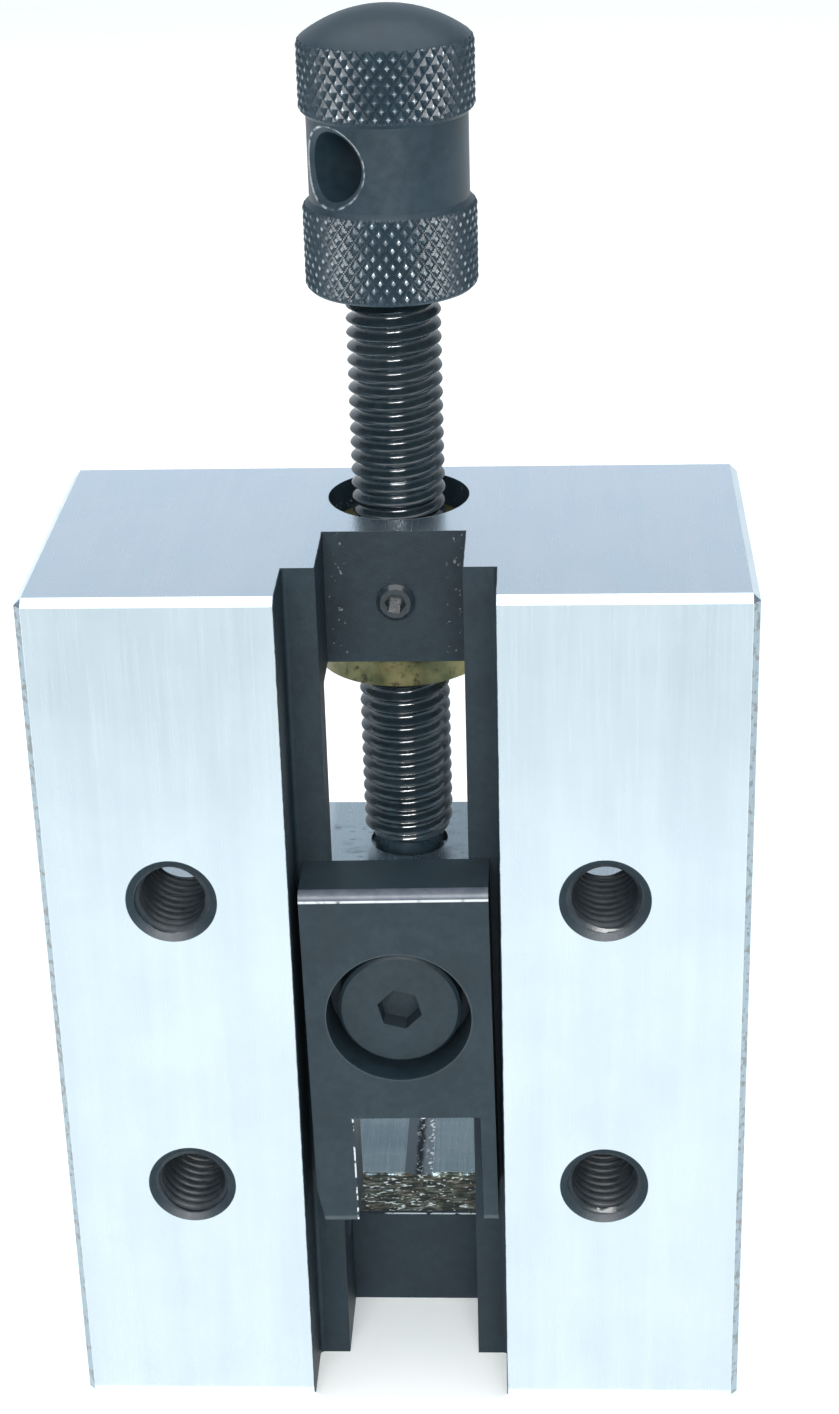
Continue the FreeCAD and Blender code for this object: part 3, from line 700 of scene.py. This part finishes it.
def hardened_material():
    """Bright hardened steel of the pins and the ball."""
    surface = Surface("hardened_steel", STEEL_SHEEN)
    cloud = surface.noise(1.5, shift=81.0)
    colour = surface.tint(cloud, (0.42, 0.43, 0.45), (0.6, 0.61, 0.62))
    return surface.finish(colour, 1.0, surface.math("MULTIPLY_ADD", cloud, 0.1, 0.12),
                          surface.relief(cloud, 0.004, 0.5))


def give(thing, material):
    """Puts one material on an object, in place of any it came with."""
    thing.data.materials.clear()
    thing.data.materials.append(material)


# ---------------------------------------------------------------- studio

# radiance of the surroundings at some elevations, in degrees
BACK_LIGHT = [(0, (0.78, 0.86, 0.92)), (20, (0.72, 0.80, 0.90)), (27, (0.40, 0.44, 0.46)),
              (36, (0.17, 0.20, 0.22)), (70, (0.26, 0.28, 0.30))]
FRONT_LIGHT = [(0, (0.45, 0.48, 0.50)), (30, (0.35, 0.37, 0.39)), (70, (0.26, 0.28, 0.30))]
# camera: millimetres of lens, metres from the origin, and degrees about X, Y and Z
CAMERA_LENS = 67.06
CAMERA_PLACE = (0.01645, -0.25434, 0.19566)
CAMERA_TURN = (64.991, 1.4956, 2.5336)


def flat_sheet(name, low, high, height):
    """A level rectangle between two (x, y) corners, in metres."""
    mesh = bpy.data.meshes.new(name)
    outline = [(low[0], low[1]), (high[0], low[1]), (high[0], high[1]), (low[0], high[1])]
    mesh.from_pydata([(x, y, height) for x, y in outline], [], [(0, 1, 2, 3)])
    sheet = bpy.data.objects.new(name, mesh)
    bpy.context.scene.collection.objects.link(sheet)
    return sheet


def make_floor():
    """A wide pale sheet under the vise."""
    floor = flat_sheet("floor", (-4.0, -4.0), (4.0, 4.0), 0.0)
    surface = Surface("pale_sheet", {"IOR": 1.4, "Emission Color": (0.92, 1.0, 0.97, 1),
                                     "Emission Strength": 0.25})
    cloud = surface.noise(0.004)
    colour = surface.tint(cloud, (0.89, 0.91, 0.905), (0.91, 0.925, 0.92))
    give(floor, surface.finish(colour, 0.0, 0.7, surface.relief(cloud, 0.01, 0.1)))


def make_light(name, position, target, width, height, power, only_shine=False):
    """A soft box aimed at a point; one that only shines adds highlights and no light."""
    light = bpy.data.lights.new(name, "AREA")
    light.shape = "RECTANGLE"
    light.size = width
    light.size_y = height
    light.energy = power
    lamp = bpy.data.objects.new(name, light)
    lamp.location = position
    lamp.rotation_euler = (Vector(target) - Vector(position)).to_track_quat("-Z", "Y").to_euler()
    lamp.visible_diffuse = not only_shine
    bpy.context.scene.collection.objects.link(lamp)


def make_world():
    """Soft room light: a bright backdrop up to some 25 degrees, and a dimmer room above and in front."""
    world = bpy.data.worlds.new("studio")
    bpy.context.scene.world = world
    world.use_nodes = True
    tree = world.node_tree
    tree.nodes.clear()
    direction = tree.nodes.new("ShaderNodeTexCoord")
    parts = tree.nodes.new("ShaderNodeSeparateXYZ")
    back = tree.nodes.new("ShaderNodeValToRGB")
    front = tree.nodes.new("ShaderNodeValToRGB")
    turn = tree.nodes.new("ShaderNodeMapRange")
    mix = tree.nodes.new("ShaderNodeMix")
    background = tree.nodes.new("ShaderNodeBackground")
    output = tree.nodes.new("ShaderNodeOutputWorld")
    mix.data_type = "RGBA"
    turn.inputs["From Min"].default_value = -0.3
    turn.inputs["From Max"].default_value = 0.3
    tree.links.new(direction.outputs["Generated"], parts.inputs[0])
    tree.links.new(parts.outputs["Y"], turn.inputs["Value"])
    for ramp, levels in ((back, BACK_LIGHT), (front, FRONT_LIGHT)):
        tree.links.new(parts.outputs["Z"], ramp.inputs[0])
        while len(ramp.color_ramp.elements) < len(levels):
            ramp.color_ramp.elements.new(1.0)
        for element, (elevation, colour) in zip(ramp.color_ramp.elements, levels):
            element.position = math.sin(math.radians(elevation))
            element.color = (*colour, 1)
    tree.links.new(turn.outputs["Result"], mix.inputs[0])
    tree.links.new(front.outputs["Color"], mix.inputs[6])
    tree.links.new(back.outputs["Color"], mix.inputs[7])
    tree.links.new(mix.outputs[2], background.inputs["Color"])
    tree.links.new(background.outputs[0], output.inputs[0])


def make_flag():
    """A card lying in front, seen only in reflections: pale near the base face and grey beyond."""
    flag = flat_sheet("flag", (-0.8, -1.2), (0.8, -0.0195), 0.001)
    flag.visible_camera = False
    flag.visible_diffuse = False
    flag.visible_shadow = False
    surface = Surface("graded_card", {"IOR": 1.4, "Emission Strength": 1.0})
    cloud = surface.noise(0.01)
    pale = surface.above(surface.y, -170, 4)
    glow = surface.tint(pale, (0.63, 0.69, 0.70), (0.96, 1.01, 1.02))
    surface.feed(surface.shader.inputs["Emission Color"], glow)
    colour = surface.tint(cloud, (0.001, 0.001, 0.001), (0.002, 0.002, 0.002))
    give(flag, surface.finish(colour, 0.0, 0.9, surface.relief(cloud, 0.01, 0.1)))


def make_camera():
    """Above the base face's side, a little to the right, looking down at the slot."""
    camera = bpy.data.cameras.new("camera")
    camera.lens = CAMERA_LENS
    camera.sensor_width = 36
    camera.clip_start = 0.01
    holder = bpy.data.objects.new("camera", camera)
    holder.location = CAMERA_PLACE
    holder.rotation_euler = Euler([math.radians(angle) for angle in CAMERA_TURN])
    bpy.context.scene.collection.objects.link(holder)
    bpy.context.scene.camera = holder


# ---------------------------------------------------------------- the whole picture

def dress():
    """Gives each CAD node its surface and adds the knob, the screw and the tapped threads."""
    nodes = frame["nodes"]
    fastener = oxide_material("oiled_oxide", (0.0095, 0.0215, 0.0305), (0.0155, 0.0320, 0.0430), 0.36)
    glossy = oxide_material("polished_oxide", (0.014, 0.022, 0.028), (0.028, 0.040, 0.048), 0.04,
                            OILY_SHEEN, OILY_PITTING)
    thread = oxide_material("oiled_thread", (0.012, 0.022, 0.029), (0.024, 0.037, 0.045), 0.05,
                            OILY_SHEEN, OILY_PITTING)
    tap_skin = oxide_material("tapped_steel", (0.012, 0.020, 0.026), (0.03, 0.04, 0.048), 0.25)
    hardened = hardened_material()
    give(nodes["vise_body"], block_material())
    give(nodes["moving_jaw"], jaw_material())
    give(nodes["keeper_plate"], keeper_material())
    for name in ("keeper_screw", "keeper_washer"):
        give(nodes[name], fastener)
    give(nodes["nut_set_screw"], glossy)
    give(nodes["lead_nut"], bronze_material())
    for name in ("retaining_pin_left", "retaining_pin_right", "thrust_ball"):
        give(nodes[name], hardened)
    give(make_knob(), knob_material())
    give(make_screw(), thread)
    for row, height in ((-1, "low"), (1, "high")):
        for side, hand in ((-1, "left"), (1, "right")):
            x = TAP_CENTRE[0] + side * TAP_SPACING[0] / 2
            z = TAP_CENTRE[1] + row * TAP_SPACING[1] / 2
            lead_in = 1.3 * side + 0.7 * row
            give(make_tapped_thread("tapped_thread_%s_%s" % (height, hand), x, z, lead_in), tap_skin)


make_camera()
make_world()
make_floor()
make_flag()
make_light("overhead", (0.0, 0.1, 1.1), (0, 0, 0), 1.4, 1.4, 13.0)
make_light("front", (0.0, -0.75, 0.5), (0, 0, 0.06), 0.6, 0.08, 5.0)
make_light("glint", (0.0, -0.74, 0.5), (0, 0, 0.06), 0.5, 0.08, 16.0, only_shine=True)
dress()
bpy.context.scene.view_settings.view_transform = "Standard"
